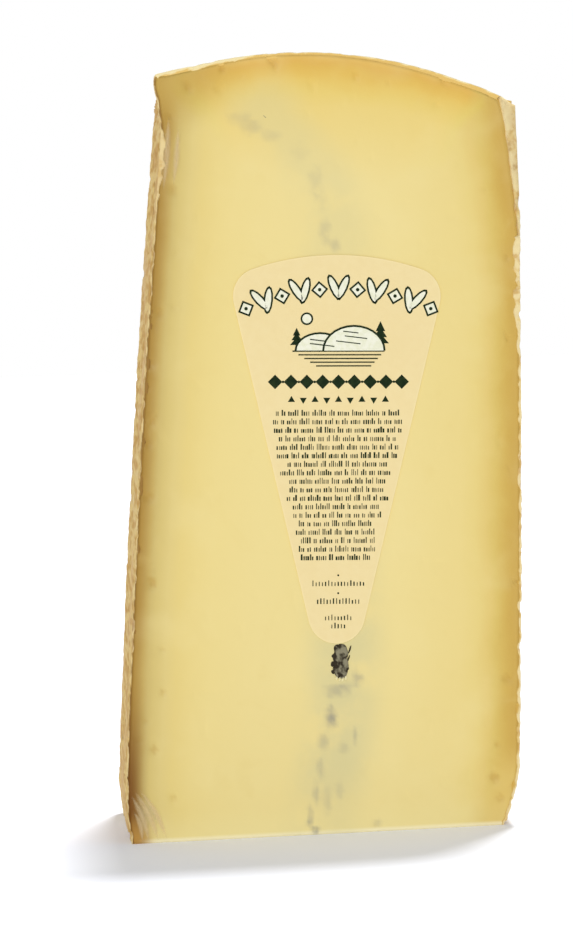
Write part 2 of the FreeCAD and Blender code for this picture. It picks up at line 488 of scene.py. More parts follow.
def bite(point):
    """1 in the middle of a bite out of the front's left lip."""
    if point.x > 0:
        return 0.0
    wide = 0.0
    for index, height in enumerate(BITE_HEIGHTS):
        size = (1.2 + 0.6 * math.sin(5 * index)) * MM
        wide = max(wide, 1 - abs(point.z - height * MM) / size)
    return max(wide, 0.0)


def rim_width(point, normal):
    """How much of the front cut the rind's torn edge covers here, in metres."""
    up = point.z / TOP
    if normal.z > 0.5:
        wide = 0.16 + 0.5 * fade(point.x, -9 * MM, -18 * MM)
    elif point.x < 0:
        wide = 0.2 + 0.8 * fade(abs(up - 0.865), 0.06, 0.01)
    else:
        wide = 0.42 + 0.8 * fade(up, 0.58, 0.72)
    uneven = 1 + 0.9 * rough(point, 1.8 * MM, 2, 13.0)
    return max(wide * uneven, 0.05) * MM


def lip(point, width, inward, heel):
    """How far the rind's rim stands in front of its cut: proud, then flush, then under the paste."""
    ragged = 0.07 * rough(point, 0.9 * MM, 2, 17.0)
    proud = (0.2 + ragged) * (1 - 0.6 * heel) * fade(inward, 1.4 * width, 0.6 * width) - 0.08
    overlap = max(width, (0.75 + 0.2 * heel) * MM)
    return (proud - 0.5 * fade(inward, overlap, overlap + 0.4 * MM)) * MM


def flare(point):
    """The two shoulders' burrs, which stand out to the sides at the top of the front."""
    near_front = fade(point.y, FRONT + BURR_DEPTH, FRONT)
    if point.x > 0:
        reach = 0.8 * fade(point.z, 0.70 * TOP, 0.90 * TOP) * fade(point.x, 28 * MM, 34 * MM)
    else:
        reach = -1.25 * fade(point.z, 0.90 * TOP, 0.955 * TOP)
        reach -= 1.0 * fade(point.z, 0.942 * TOP, 0.967 * TOP)
        reach *= fade(point.x, -20 * MM, -28 * MM)
    return reach * near_front * MM


print("a bite's middle gives", bite(Vector((-0.03, FRONT, 0.0511))))

# %% [markdown]
# `make_rind` puts it together. `create_grid` gives the flat grid, each point is moved once, the seam
# is welded and the two open feet are filled. A few numbers stay on each point for the material: how
# high the crust is there, how near to a rim, on which side, and whether the rim is torn crust there.
# At the end each point is held inside the cheese's measured box, so the dressed slab can't outgrow it.

# %% Make the rind's shell


def near_rim(point, across, deep):
    """From 0 to 1, how near this is to a rim. The upper right edge is chipped further back."""
    if deep > 0.0:
        return 1.0
    chipped = point.x > 0 and point.z > 0.58 * TOP and across < 0.5
    reach = (5 if chipped else 1.2) * MM
    return max(1 - min(across, 1 - across) * (BACK - FRONT) / reach, 0.0)


def set_rim(place, point, normal, across, inward):
    """Moves a point of the rim to its relief, and tells from 0 to 1 whether it is torn crust."""
    width = rim_width(point, normal)
    proud = lip(place, width, inward, fade(normal.z, 0.3, 0.6))
    if across == 0.0:
        place.y += 0.3 * MM * fade(bite(point), 0.0, 1.0) - proud
    else:
        place.y += proud - BACK_ROOM
    return fade(inward, 1.3 * width, 0.8 * width)


def make_rind():
    bm = bmesh.new()
    names = ("relief", "rim", "torn", "left_side", "heel_side", "tone")
    layers = {name: bm.verts.layers.float.new(name) for name in names}
    bmesh.ops.create_grid(bm, x_segments=len(SHARES) - 1, y_segments=len(STOPS) - 1, size=0.5)
    hits = {}
    for vert in bm.verts:
        column = round((vert.co.x + 0.5) * (len(SHARES) - 1))
        row = round((vert.co.y + 0.5) * (len(STOPS) - 1))
        across, deep = STOPS[row]
        start, outward = spine(SHARES[column])
        start.y = FRONT + across * (BACK - FRONT)
        lowest = start.z < EDGE
        start.z = max(start.z, EDGE)
        key = (column, across)
        if key not in hits:
            hits[key] = skin(start, outward)
        point, normal = hits[key]
        point = Vector((point.x, start.y, 0.0 if lowest else point.z))
        sunk, relief = crust(point, normal)
        left_side = point.x < 0 and normal.z < 0.5
        sunk += 0.22 * MM * across * left_side
        inward = RIND_THICKNESS * deep
        place = point - normal * (sunk * (1 - deep) + inward)
        place.x += flare(point)
        torn = set_rim(place, point, normal, across, inward) if across in (0.0, 1.0) else 1.0
        place.x = clamped(place.x, LOW.x, HIGH.x)
        place.y = clamped(place.y, LABEL_LOW.y, BACK)
        place.z = clamped(place.z, 0.0, TOP)
        vert.co = place
        vert[layers["relief"]] = relief
        vert[layers["rim"]] = near_rim(point, across, deep)
        vert[layers["torn"]] = torn
        vert[layers["left_side"]] = float(left_side)
        vert[layers["heel_side"]] = fade(normal.z, 0.3, 0.6)
        vert[layers["tone"]] = rough(Vector((point.x, 0.13 * point.y, point.z)), 1.6 * MM, 3, 23.0)
    bmesh.ops.remove_doubles(bm, verts=bm.verts, dist=1e-6)
    bmesh.ops.holes_fill(bm, edges=bm.edges, sides=0)
    bmesh.ops.recalc_face_normals(bm, faces=bm.faces)
    return bm


# %% [markdown]
# The rind's colours lie close together: ochre and beige, with cream on the high crumbs, partly their
# dry colour and partly a painted highlight, and brown in the pits as painted shade. Along the lips the
# crust is paler, like bread crust that is broken. Where the knife went clean through, the rim takes the
# colour of the dark paste beside it.

# %% The rind's material


def rind_material():
    material, tree, shader = new_material("morbier_rind")
    relief = attribute(tree, "relief")
    tone = attribute(tree, "tone")
    base = blend(tree, remap(tree, tone, -0.4, 0.35), tint(201, 157, 77), tint(229, 199, 126))
    specks = times(tree, patches(tree, 900, 0.55, 0.7, 4.0), 0.5)
    base = blend(tree, specks, base, tint(178, 132, 72))
    pinkish = times(tree, patches(tree, 60, 0.48, 0.66), 0.7)
    base = blend(tree, pinkish, base, tint(218, 180, 124))
    # Painted highlight and shade: the crust is paler where its relief stands high and browner in its pits.
    dry = blend(tree, remap(tree, relief, 0.0, 0.7, 0.0, 0.8), base, tint(238, 216, 160))
    pits = blend(tree, remap(tree, relief, -0.3, -1.2, 0.0, 0.8), dry, tint(160, 112, 54))
    crumbly = remap(tree, patches(tree, 420, 0.35, 0.55), 0.0, 1.0, 0.3, 1.0)
    left = attribute(tree, "left_side")
    strong = remap(tree, left, 0.0, 1.0, 0.85, 0.55)
    edge = times(tree, attribute(tree, "rim"), crumbly, strong)
    colour = blend(tree, edge, pits, tint(240, 222, 170))
    heel = times(tree, attribute(tree, "heel_side"), attribute(tree, "rim"), 0.85)
    colour = blend(tree, heel, colour, tint(246, 230, 176))
    low = remap(tree, above_base(tree), 36 * MM, 8 * MM)
    cut = blend(tree, left, tint(212, 174, 88), blend(tree, low, tint(156, 119, 60), tint(116, 68, 12)))
    # Partly painted light: on the heel the rim's cut colour is lifted to fill the crease's shade.
    cut = blend(tree, attribute(tree, "heel_side"), cut, tint(231, 194, 112))
    colour = blend(tree, attribute(tree, "torn"), cut, colour)
    set_finish(tree, shader, colour, 0.72, 0.15, bump(tree, grain(tree, 1500, 0.5, 900), 0.5, 0.2 * MM))
    return material


finish_piece(make_rind(), "rind", rind_material())

# %% [markdown]
# ## The paste
# The paste fills the rind. A cube is the plain start: cut into even slices along X and then along Z,
# its front and back become fine grids, while the hidden sides stay coarse. Each point is then moved
# to its share of the way between the measured left and right skins, and between base and heel.
# It stays half a millimetre under the skin, inside the rind, so that the two never fight for the eye.

# %% Slice a cube and fit it
PASTE_COLUMNS = 128
PASTE_LEVELS = 236
PASTE_ROWS = 14
UNDER_SKIN = 0.55 * MM
STATIONS = 90
SIDES_TOP = 138 * MM
HEEL_LEFT = -27 * MM
HEEL_RIGHT = 37.5 * MM
HEEL_RAY_FROM = 100 * MM


def sliced_cube():
    """A cube of side 1 about the origin, with even slices along its three ways."""
    bm = bmesh.new()
    bmesh.ops.create_cube(bm, size=1)
    for axis, count in ((1, PASTE_ROWS), (0, PASTE_COLUMNS), (2, PASTE_LEVELS)):
        way = Vector([float(axis == n) for n in range(3)])
        edges = [e for e in bm.edges if abs((e.verts[1].co - e.verts[0].co).normalized().dot(way)) > 0.9]
        bmesh.ops.subdivide_edges(bm, edges=edges, cuts=count - 1, use_grid_fill=True)
    return bm


class Outline:
    """Measured edges of the cheese at one depth, to be read between stations."""

    def __init__(self, depth):
        self.levels = np.linspace(EDGE, SIDES_TOP, STATIONS)
        self.left = [skin(Vector((0, depth, z)), Vector((-1, 0, 0)))[0].x for z in self.levels]
        self.right = [skin(Vector((0, depth, z)), Vector((1, 0, 0)))[0].x for z in self.levels]
        self.across = np.linspace(HEEL_LEFT, HEEL_RIGHT, STATIONS)
        self.heel = [skin(Vector((x, depth, HEEL_RAY_FROM)), Vector((0, 0, 1)))[0].z for x in self.across]

    def sides(self, level):
        """Left and right skin at a height, carried on in a straight line above the shoulders."""
        beyond = max(level - self.levels[-1], 0.0)
        found = []
        for side in (self.left, self.right):
            slope = (side[-1] - side[-8]) / (self.levels[-1] - self.levels[-8])
            found.append(float(np.interp(level, self.levels, side)) + slope * beyond)
        return found

    def top(self, across):
        return float(np.interp(across, self.across, self.heel))


OUTLINES = {}


def outline(depth):
    key = round(inside_cuts(depth) / MM, 2)
    if key not in OUTLINES:
        OUTLINES[key] = Outline(depth)
    return OUTLINES[key]


print("at the front the heel stands", outline(FRONT).top(0.0), "m high over the middle")

# %% [markdown]
# The cuts are smooth but not flat. A wire drags, so there are shallow waves across the cut; small
# eyes were opened by it; and near the rind the drier paste tore into pits. The marks that anyone
# would remember are listed, each by its place across and up and its size in millimetres and by its
# share of the full depth, and noise makes the rest.

# %% Dents and eyes in the cuts
PIT_DEPTH = 0.65 * MM
PITS = [
    (-30.6, 103.6, 1.0, 0.9), (-31.6, 100.9, 0.8, 0.5), (-32.9, 82.3, 0.9, 0.8), (-33.6, 78.3, 0.8, 0.8),
    (-33.9, 67.8, 1.0, 0.8), (-34.0, 51.0, 1.1, 0.9), (-32.5, 37.9, 0.6, 0.6), (-32.7, 29.4, 0.7, 0.7),
    (-34.9, 18.3, 0.9, 0.8), (-31.6, 8.6, 0.8, 0.7), (-26.9, 127.2, 1.1, 0.8), (-23.3, 146.8, 1.0, 0.7),
    (32.6, 16.0, 0.5, 0.7), (31.6, 9.4, 1.2, 0.9), (36.8, 22.6, 0.7, 0.4), (35.2, 7.8, 0.7, 0.5),
    (37.3, 95.5, 0.6, 0.5), (27.4, 10.0, 2.2, 0.25), (7.9, 1.4, 0.6, 0.5),
]


def cut_relief(point, to_skin, front):
    """How deep the cut lies behind its plane, in metres, and from 0 to 1 its painted pit shade."""
    dry = 1 - fade(to_skin, 2 * MM, 9 * MM)
    waves = 0.035 * (1 + rough(Vector((point.x, point.y, 3.5 * point.z)), 30 * MM, 1, 31.0))
    skinned = 0.05 * (1 + rough(point, 4 * MM, 2, 37.0)) * (0.35 + dry) * fade(to_skin, 0.4 * MM, 2 * MM)
    eyes = 0.3 * fade(rough(point, 2.6 * MM, 1, 41.0), 0.8, 1.0) * (0.3 + dry)
    deep = (waves + skinned + eyes) * MM
    if front:
        for across, up, size, depth in PITS:
            away = math.hypot(point.x - across * MM, 0.75 * (point.z - up * MM)) / (size * MM)
            if away < 1.6:
                wobble = 1 + 0.3 * rough(point, 0.8 * MM, 1, 43.0)
                deep += PIT_DEPTH * depth * fade(away * wobble, 1.3, 0.25)
    return deep, fade(deep, 0.3 * MM, 0.7 * MM)


print(len(PITS), "pits are listed, the deepest", PIT_DEPTH * max(pit[3] for pit in PITS), "m deep")

# %% [markdown]
# The knife also rubbed ash along the cut. On the front these smears are listed one by one, by their
# place, width and height in millimetres and their strength. At the back, noise streaks them along the
# sheet. `off_ash` measures how far a point lies from the shade that the sheet lends the paste.

# %% Smears of ash
SMEARS = [
    (-13.4, 140.4, 2.2, 1.0, 0.22), (-11.1, 138.6, 1.8, 1.1, 0.32), (-7.7, 136.9, 1.8, 1.0, 0.22),
    (-2.2, 133.4, 1.6, 1.4, 0.12), (0.8, 127.9, 1.2, 2.4, 0.22), (1.6, 124.0, 1.0, 2.0, 0.20),
    (2.3, 118.1, 1.0, 2.2, 0.30), (4.2, 115.2, 1.0, 1.0, 0.40), (5.5, 30.6, 0.8, 1.4, 0.60),
    (1.1, 28.1, 1.9, 1.1, 0.55), (3.3, 28.9, 1.6, 0.6, 0.35), (0.0, 23.0, 0.9, 1.7, 1.00),
    (-1.8, 18.2, 0.9, 1.6, 0.45), (4.5, 19.1, 0.4, 1.6, 0.50), (2.4, 16.8, 1.0, 1.0, 0.30),
    (-2.5, 12.7, 0.6, 1.8, 0.40), (-3.6, 7.8, 0.5, 2.0, 0.45), (-4.8, 3.9, 0.5, 2.0, 0.50),
    (-5.1, 2.4, 0.6, 0.8, 0.50), (-4.0, 0.8, 0.7, 0.7, 1.00), (-1.3, 6.7, 0.8, 2.4, 0.30),
    (1.1, 8.6, 0.7, 1.6, 0.30), (8.2, 1.7, 0.8, 0.7, 0.35),
]


def off_ash(place, rows):
    """Millimetres from the ash's shade, which lies just right of the sheet. Above it, from its edge."""
    level = min(place.z, ASH_HIGH.z - 0.4 * MM)
    key = (round(place.y, 4), round(level, 4))
    if key not in rows:
        while not ash_here(place.y, level):
            level -= 0.4 * MM
        rows[key] = (ash_here(place.y, level)[0], level)
    middle, level = rows[key]
    return math.hypot(place.x - middle - 1 * MM, max(place.z - level, 0.0)) / MM


def smeared(place, front, aside):
    """How much ash the knife rubbed into the cut here, from 0 to 1."""
    if not front:
        streaks = rough(Vector((place.x, place.y, 0.4 * place.z)), 2.2 * MM, 2, 77.0)
        return 0.75 * fade(streaks, -0.05, 0.6) * fade(aside, 2.4, 0.6)
    total = 0.0
    for across, up, wide, tall, strength in SMEARS:
        away = math.hypot((place.x / MM - across) / wide, (place.z / MM - up) / tall)
        if away < 2.2:
            total += strength * fade(away + 0.5 * rough(place, 1.3 * MM, 2, 71.0), 1.7, 0.2)
    return min(total, 1.0)


print(len(SMEARS), "smears are listed")

# %% [markdown]
# `make_paste` fits the cube and writes what the material needs on each point: the distances to the
# left skin, to the heel and to the right skin, in millimetres, how far off the ash's shade lies, how
# much ash is smeared there, and how much painted shade its pit gets. Measuring once per point here is
# what lets the colours follow the real shape with no map painted by hand.

# %% Fit the paste and measure it
SHOULDER_LEVEL = 140 * MM
BURR_FROM = 0.66 * TOP
BURR = 0.3 * MM


def make_paste():
    bm = sliced_cube()
    names = ("to_left", "to_heel", "to_right", "off_ash", "smear", "pit_shade")
    layers = {name: bm.verts.layers.float.new(name) for name in names}
    ash_rows = {}
    for vert in bm.verts:
        share_x, share_y, share_z = (c + 0.5 for c in vert.co)
        depth = FRONT + share_y * (BACK - BACK_ROOM - FRONT)
        edges = outline(depth)
        left, right = edges.sides(share_z * SHOULDER_LEVEL)
        level = share_z * (edges.top(left + share_x * (right - left)) - UNDER_SKIN)
        left, right = edges.sides(level)
        across = left + UNDER_SKIN + share_x * (right - left - 2 * UNDER_SKIN)
        heel = edges.top(across)
        place = Vector((across, depth, min(level, heel - UNDER_SKIN)))
        place.x += flare(place)
        if share_x == 1.0 and place.z > BURR_FROM:
            place.x += BURR * rough(place, 1.6 * MM, 2, 91.0)
        place.x = clamped(place.x, LOW.x + UNDER_SKIN, HIGH.x - UNDER_SKIN)
        to_skin = min(across - left, right - across, heel - place.z)
        pit_shade = 0.0
        if share_y in (0.0, 1.0):
            front = share_y == 0.0
            deep, pit_shade = cut_relief(place, to_skin, front)
            place.y += deep * (1 if front else -1)
        vert.co = place
        vert[layers["to_left"]] = (across - left - UNDER_SKIN) / MM
        vert[layers["to_right"]] = (right - across - UNDER_SKIN) / MM
        vert[layers["to_heel"]] = (heel - place.z - UNDER_SKIN) / MM
        aside = off_ash(place, ash_rows)
        vert[layers["off_ash"]] = aside
        vert[layers["pit_shade"]] = pit_shade
        vert[layers["smear"]] = smeared(place, share_y < 0.5, aside)
    bmesh.ops.recalc_face_normals(bm, faces=bm.faces)
    return bm


# %% [markdown]
# The paste's colour is a warm cream that deepens over the last two centimetres before the rind. Three
# ramps read the three distances, and the darkest of them wins at each spot, so corners don't go twice
# as dark. Each stop below is a distance from the skin in millimetres and the colour there.

# %% Ramps from the skin inwards
GRADE = 24.0
TO_LEFT = [
    (0.0, (164, 127, 54)), (0.7, (177, 141, 66)), (1.5, (186, 154, 82)), (2.2, (197, 169, 95)),
    (3.1, (207, 184, 112)), (4.2, (215, 193, 119)), (6.2, (224, 203, 130)), (8.5, (230, 208, 131)),
    (11.5, (234, 213, 138)), (15.0, (236, 216, 143)), (24.0, (237, 218, 148)),
]
TO_RIGHT = [
    (0.0, (204, 168, 84)), (1.2, (205, 169, 82)), (2.2, (208, 174, 86)), (3.3, (213, 182, 94)),
    (4.6, (219, 192, 106)), (6.2, (226, 200, 119)), (8.5, (231, 209, 131)), (11.5, (234, 213, 139)),
    (24.0, (237, 218, 148)),
]
# The first stops are partly painted light, lifted to fill the shade of the crease under the heel's rim.
TO_HEEL = [
    (0.0, (229, 190, 106)), (0.8, (225, 184, 94)), (1.5, (223, 180, 88)), (2.4, (224, 184, 88)),
    (3.6, (227, 190, 94)), (5.0, (230, 198, 105)), (7.0, (232, 205, 116)), (9.5, (234, 209, 127)),
    (14.0, (235, 212, 134)), (24.0, (237, 218, 148)),
]


def graded(tree, distance, wobble, stops):
    """The colour at this distance from the skin."""
    share = times(tree, maths(tree, "ADD", distance, wobble), 1 / GRADE)
    return ramp(tree, share, [(place / GRADE, tint(*colour)) for place, colour in stops])


print(len(TO_LEFT), len(TO_RIGHT), len(TO_HEEL), "stops from the left, the right and the heel")

# %% [markdown]
# Over the ramps come faint clouds, a tanned upper corner, a paler foot that is painted light, dark
# orange-brown low on the left, painted shade in the pits, the greenish-grey shade that ash lends the
# paste beside it, and the smears of ash themselves. Each is a colour blended in by a mask, so each has
# its own small function and can be changed alone.

# %% Clouds, stains and ash on the paste


def clouded(tree, colour, to_left, to_right, to_heel, height):
    """Faint clouds, a tanned upper left corner, a paler lower right one, and a base painted paler as light.
    """
    pale = times(tree, patches(tree, 60, 0.5, 0.75), 0.25)
    colour = blend(tree, pale, colour, tint(240, 224, 160))
    deep = times(tree, patches(tree, 95, 0.56, 0.75, 4.0, 1.0), 0.2)
    colour = blend(tree, deep, colour, tint(228, 205, 130))
    corner = times(tree, remap(tree, to_left, 17.0, 3.0), remap(tree, to_heel, 13.0, 2.0), 0.8)
    colour = blend(tree, corner, colour, tint(197, 163, 80))
    # Painted light: the lowest seven millimetres are made paler, lifting the shade at the slab's foot.
    foot = times(tree, remap(tree, height, 7 * MM, 0.5 * MM), 0.4)
    colour = blend(tree, foot, colour, tint(240, 226, 160))
    low = remap(tree, height, 17 * MM, 8 * MM)
    low_right = times(tree, low, remap(tree, to_right, 7.0, 2.0), 0.65)
    colour = blend(tree, low_right, colour, tint(228, 200, 116))
    # Palest of all, near white, is a thin line along the very base edge.
    sole = times(tree, remap(tree, height, 1.1 * MM, 0.3 * MM), 0.7)
    return blend(tree, sole, colour, tint(252, 243, 205))


def low_left_and_pits(tree, colour, to_left, height):
    """Dark orange-brown low on the left by the rind, a golden corner at its foot, and painted pit shade."""
    low = remap(tree, height, 33 * MM, 9 * MM)
    close = remap(tree, to_left, 4.2, 0.0)
    colour = blend(tree, times(tree, low, close, 0.9), colour, tint(114, 66, 10))
    corner = times(tree, remap(tree, height, 7 * MM, 1 * MM), remap(tree, to_left, 5.0, 0.5), 0.7)
    colour = blend(tree, corner, colour, tint(196, 148, 66))
    # Painted shade: the pits are darkened by the share that the mesh carries.
    pits = times(tree, attribute(tree, "pit_shade"), 0.45)
    return blend(tree, pits, colour, tint(186, 148, 66))


def ashen(tree, colour, height):
    """The grey-green shade beside the ash, and smears where the knife drew ash along the cut."""
    near = remap(tree, attribute(tree, "off_ash"), 10.5, 2.0)
    upper = remap(tree, height, 50 * MM, 85 * MM, 0.8, 0.4)
    foot = remap(tree, height, 3 * MM, 14 * MM, 0.45, 1.0)
    shade = times(tree, near, patches(tree, 110, 0.22, 0.6, 5.0), upper, foot)
    colour = blend(tree, shade, colour, tint(216, 206, 152))
    smear = times(tree, attribute(tree, "smear"), patches(tree, 420, 0.15, 0.5, 4.0), 0.8)
    return blend(tree, smear, colour, tint(150, 146, 132))


print("laid over the ramps:", [layer.__name__ for layer in (clouded, low_left_and_pits, ashen)])

# %% [markdown]
# The material joins them. A noise makes the ramps' edges wander, more so far from the skin, and varies
# the gloss, which is that of firm butter.

# %% The paste's material


def paste_material():
    material, tree, shader = new_material("morbier_paste")
    place = put(tree, "ShaderNodeTexCoord").outputs["Object"]
    height = above_base(tree)
    to_left = attribute(tree, "to_left")
    cloud = put(tree, "ShaderNodeTexNoise", {"Vector": place, "Scale": 130.0, "Detail": 4.0}).outputs[0]
    swing = maths(tree, "MINIMUM", maths(tree, "ADD", times(tree, to_left, 0.22), 0.6), 3.0)
    wobble = times(tree, maths(tree, "SUBTRACT", cloud, 0.5), swing)
    to_heel = attribute(tree, "to_heel")
    left = graded(tree, to_left, wobble, TO_LEFT)
    to_right = attribute(tree, "to_right")
    right = graded(tree, to_right, wobble, TO_RIGHT)
    heel = graded(tree, to_heel, wobble, TO_HEEL)
    colour = blend(tree, 1.0, blend(tree, 1.0, left, right, "DARKEN"), heel, "DARKEN")
    colour = clouded(tree, colour, to_left, to_right, to_heel, height)
    colour = low_left_and_pits(tree, colour, to_left, height)
    colour = ashen(tree, colour, height)
    roughness = remap(tree, cloud, 0.3, 0.7, 0.36, 0.5)
    relief = bump(tree, grain(tree, 700, 0.35, 260), 0.22, 0.15 * MM)
    set_finish(tree, shader, colour, roughness, 0.2, relief)
    return material


finish_piece(make_paste(), "paste", paste_material(), ["cheese_paste"])

# %% [markdown]
# ## The ash
# Between the two milkings that make a Morbier lies a film of ash. On a cut it is seldom one clean
# line: the paste closes over it, and only streaks and crumbs come out. So the vein is a sheet whose
# edges wander just in front of and just behind the cuts, and the paste hides it wherever it is sunk.
# It starts as a grid again, run round the sheet's section: left flank, edge, right flank.

# %% The ash vein
VEIN_STEP = 0.45 * MM
VEIN_ROWS = 22
VEIN_SHARE = 0.8


def shows(point):
    """From -1, where the paste has closed over the ash, to 1, where the ash comes out."""
    streaks = rough(Vector((point.x, point.y, 0.45 * point.z)), 3.2 * MM, 2, 53.0)
    return streaks - (0.9 if point.y < 0 else 0.3)


def make_vein():
    bm = bmesh.new()
    levels = int((ASH_HIGH.z - 1 * MM) / VEIN_STEP)
    ring = [(row / VEIN_ROWS, -1) for row in range(VEIN_ROWS + 1)]
    ring += [(1 - row / VEIN_ROWS, 1) for row in range(VEIN_ROWS + 1)]
    ring += ring[:1]
    bmesh.ops.create_grid(bm, x_segments=levels, y_segments=len(ring) - 1, size=0.5)
    found = {}
    for vert in bm.verts:
        level = (vert.co.x + 0.5) * (ASH_HIGH.z - 1 * MM)
        across, side = ring[round((vert.co.y + 0.5) * (len(ring) - 1))]
        depth = FRONT + across * (BACK - BACK_ROOM - FRONT)
        key = (round(level, 6), across)
        if key not in found:
            here = ash_here(depth, level)
            found[key] = here or found.get(("last", across), (0.0, 0.3 * MM))
            found[("last", across)] = found[key]
        middle, thickness = found[key]
        point = Vector((middle, depth, level))
        ragged = 1 + 0.35 * rough(point, 1.1 * MM, 2, 59.0 + side)
        taper = 0.25 + 0.75 * fade(min(across, 1 - across), 0.0, 0.04)
        half = max(VEIN_SHARE * thickness * ragged * taper / 2, 0.06 * MM)
        out = 0.0
        if across in (0.0, 1.0):
            come = shows(point)
            out = (0.08 * fade(come, -0.1, 0.25) - 0.7 * fade(come, 0.05, -0.35)) * MM
            out = -out if across == 1.0 else out
        vert.co = Vector((middle + side * half, depth - out, level))
    bmesh.ops.remove_doubles(bm, verts=bm.verts, dist=1e-6)
    bmesh.ops.holes_fill(bm, edges=bm.edges, sides=0)
    bmesh.ops.recalc_face_normals(bm, faces=bm.faces)
    return bm


print("the sheet is", ash_here(FRONT, 50 * MM)[1], "m thick on the front cut at a third of its height")

# %% [markdown]
# Just under the label's tip a pocket of ash stands open in the cut. It is one dark lump, made from an
# icosphere: squared off, squeezed to the pocket's size, and roughened by noise. Crumbs lie round its
# edge, and a few pale ones of paste close its foot. They all go into one mesh, because they are one
# kind of thing. `tone` tells the material how pale each point is. Besides the ash's and paste's own
# colours it carries painted light and shade: the lump is painted paler on its bumps and darker in its
# hollows and on its left side, it is also darker at its top, and each crumb is painted paler on its
# upper half. A fleck is listed by its place across and up, its half width and half height in
# millimetres and its turn; a pale crumb by its place.

# %% Ash lump and crumbs
LUMP_PLACE = (2.2 * MM, FRONT + 0.06 * MM, 33.9 * MM)
LUMP_SIZE = (1.5 * MM, 0.24 * MM, 3.4 * MM)
LUMP_FRONT = FRONT - 0.28 * MM
FLECKS = [
    (4.1, 36.1, 0.16, 0.85, 0.35), (3.75, 34.3, 0.16, 0.8, 0.4), (0.75, 35.0, 0.3, 0.4, 0.0),
    (0.62, 33.4, 0.35, 0.5, 0.0), (0.7, 31.9, 0.4, 0.4, 0.0), (3.5, 32.4, 0.3, 0.4, 0.0),
]
PALE_CRUMBS = [(1.3, 30.6), (1.9, 30.35), (2.5, 30.3), (3.1, 30.55)]


def add_lump(bm, tone_and_shade_layer):
    made = bmesh.ops.create_icosphere(bm, subdivisions=5, radius=1)["verts"]
    for vert in made:
        way = vert.co.normalized()
        squared = (abs(way.x) ** 3 + abs(way.y) ** 3 + abs(way.z) ** 3) ** (-1 / 3)
        place = Vector([w * squared * size for w, size in zip(way, LUMP_SIZE)])
        swell = 1 + 0.22 * rough(place, 1.0 * MM, 3, 81.0)
        relief = rough(place, 0.8 * MM, 3, 83.0)
        # Painted light and shade: paler on the bumps, darker in the hollows and on the left side; darker at
        # the top.
        vert[tone_and_shade_layer] = 0.55 + 1.1 * relief - 0.8 * fade(way.x, -0.35, -0.8) - 0.5 * fade(way.z, 0.5, 0.9)
        place = Vector((place.x * swell, place.y, place.z)) + Vector((0, -0.12 * MM * relief, 0))
        vert.co = place + Vector(LUMP_PLACE)
        vert.co.y = max(vert.co.y, LUMP_FRONT)


def add_crumb(bm, tone_and_shade_layer, place, half, turn, tone):
    """One crumb: a small uneven ball, flattened against the cut."""
    made = bmesh.ops.create_icosphere(bm, subdivisions=2, radius=1)["verts"]
    shift = random.uniform(0, 40)
    for vert in made:
        vert.co *= 1 + 0.4 * rough(vert.co, 0.8, 2, shift)
        # Painted light: each crumb is paler on its upper half and darker below.
        vert[tone_and_shade_layer] = tone + 0.4 * vert.co.z
    shape = Matrix.Rotation(turn, 4, "Y") @ Matrix.Diagonal((*half, 1))
    bmesh.ops.transform(bm, matrix=Matrix.Translation(place) @ shape, verts=made)


def make_crumbs():
    bm = bmesh.new()
    tone_and_shade_layer = bm.verts.layers.float.new("tone")
    add_lump(bm, tone_and_shade_layer)
    for across, up, wide, tall, turn in FLECKS:
        place = Vector((across * MM, FRONT + 0.03 * MM, up * MM))
        add_crumb(bm, tone_and_shade_layer, place, (wide * MM, 0.12 * MM, tall * MM), turn, -0.2)
    for across, up in PALE_CRUMBS:
        place = Vector((across * MM, FRONT + 0.02 * MM, up * MM))
        add_crumb(bm, tone_and_shade_layer, place, (0.24 * MM, 0.2 * MM, 0.4 * MM), 0.2, 2.5)
    return bm


print("one lump,", len(FLECKS), "flecks and", len(PALE_CRUMBS), "pale crumbs")

# %% [markdown]
# Ash is near black with a grey-green bloom where it has dried, and cream where paste clings to it.
# On the lump and crumbs the tone that sets these colours also carries painted light and shade.

# %% The ash's materials


def ash_material(name, dark, light, toned):
    material, tree, shader = new_material(name)
    share = patches(tree, 900, 0.42, 0.62, 4.0)
    if toned:
        # On the crumbs this tone includes painted light and shade.
        tone = attribute(tree, "tone")
        share = remap(tree, tone, 0.0, 0.9)
    colour = blend(tree, share, dark, light)
    if toned:
        colour = blend(tree, remap(tree, tone, 1.4, 2.0), colour, tint(238, 228, 178))
    set_finish(tree, shader, colour, 0.85, 0.15, bump(tree, grain(tree, 2500, 0.4, 1500), 0.8, 0.2 * MM))
    return material


vein_finish = ash_material("ash_streaks", tint(122, 120, 106), tint(176, 172, 146), False)
finish_piece(make_vein(), "ash_vein", vein_finish, ["ash_layer"])
crumb_finish = ash_material("ash_crumbs", tint(52, 45, 33), tint(142, 136, 112), True)
finish_piece(make_crumbs(), "ash_crumbs", crumb_finish)

# %% [markdown]
# ## The label
# The label is a fan of coated paper stuck flat on the cut. Its outline is the CAD label's. A merged
# copy is thinned to paper, flat neighbours are dissolved into one face, and its front edge is bevelled
# a little, because a knife-sharp edge would catch no light and look drawn on. A band inset along that
# edge is marked in `paper_edge_highlight`, and the material paints it paler, as a painted highlight.

# %% Cut the label
PAPER_FRONT = FRONT - 0.2 * MM
PAPER_BEVEL = 0.07 * MM
PAPER_HIGHLIGHT_BAND = 0.45 * MM


